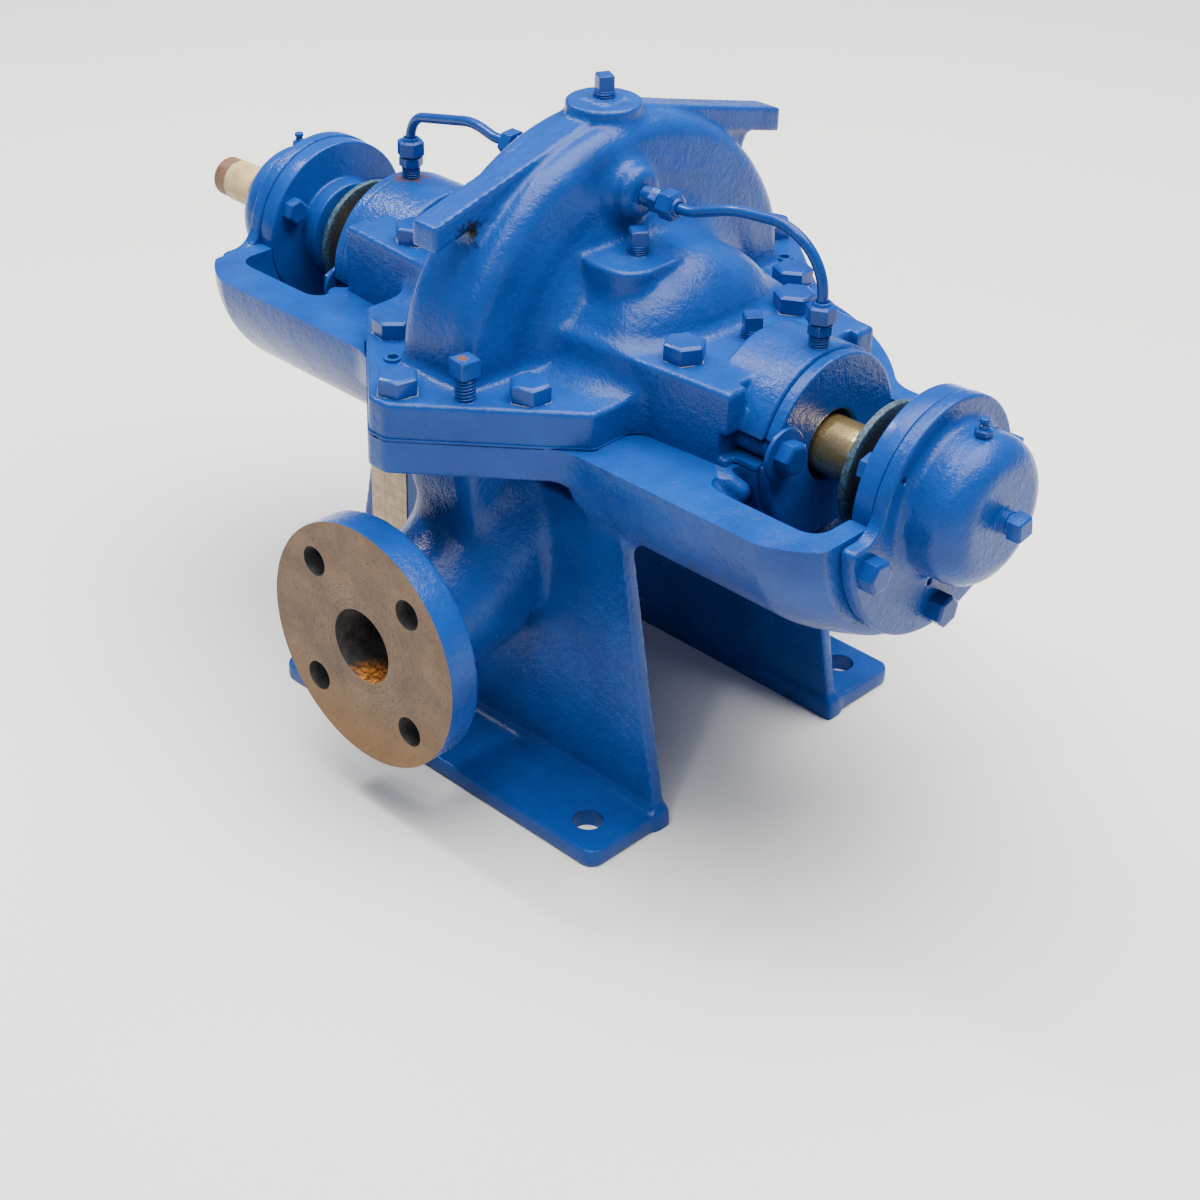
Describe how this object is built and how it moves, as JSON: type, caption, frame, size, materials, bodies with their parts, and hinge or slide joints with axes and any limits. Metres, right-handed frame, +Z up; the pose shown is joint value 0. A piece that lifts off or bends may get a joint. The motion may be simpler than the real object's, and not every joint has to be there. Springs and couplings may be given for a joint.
{
  "type": "split case pump",
  "caption": "Horizontal split case pump with a narrow volute, two bearing arms, side pipe flanges, packed glands, flush tubes and angle feet.",
  "frame": {"origin": "centre of the foot bolt pattern on the floor plane under the feet", "axes": "+X along the shaft towards the closed bearing cap, +Y across to the rear pipe flange, +Z up"},
  "size_m": [0.674, 0.387, 0.4155],
  "materials": {
    "cast_paint": "glossy blue enamel over rough casting, bare machined pipe flange faces",
    "fastener_paint": "glossy blue enamel over steel",
    "tube_paint": "glossy blue enamel over copper tube",
    "gasket": "fibre sheet, edge painted blue",
    "shaft_steel": "bare steel with brown rust film",
    "tape": "cream paper tape",
    "sleeve_brass": "turned bronze, slightly dull",
    "slinger_rubber": "dusty grey green rubber",
    "plate_metal": "brushed bare metal, slightly stained"
  },
  "bodies": {
    "pump": {"lower_casing": "cast_paint", "upper_casing": "cast_paint", "drive_bearing_housing": "cast_paint", "outer_bearing_housing": "cast_paint", "drive_bearing_cover": "cast_paint", "outer_bearing_cover": "cast_paint", "drive_gland": "cast_paint", "outer_gland": "cast_paint", "drive_bearing_bolts": "fastener_paint", "outer_bearing_bolts": "fastener_paint", "drive_gland_bolts": "fastener_paint", "outer_gland_bolts": "fastener_paint", "casing_bolts": "fastener_paint", "jackscrews": "fastener_paint", "top_plug": "fastener_paint", "pad_plugs": "fastener_paint", "block_plugs": "fastener_paint", "drive_tube_fittings": "fastener_paint", "outer_tube_fittings": "fastener_paint", "grease_nipples": "fastener_paint", "end_plug": "fastener_paint", "drive_flush_tube": "tube_paint", "outer_flush_tube": "tube_paint", "casing_gasket": "gasket", "nameplate": "plate_metal"},
    "rotor": {"shaft": "shaft_steel", "shaft_wrap": "tape", "drive_sleeve": "sleeve_brass", "outer_sleeve": "sleeve_brass", "drive_slinger": "slinger_rubber", "outer_slinger": "slinger_rubber"}
  },
  "joints": [
    {"name": "rotor_spin", "type": "hinge", "parent": "pump", "child": "rotor", "pos_m": [0, 0, 0.248], "axis": [1, 0, 0], "continuous": true}
  ]
}
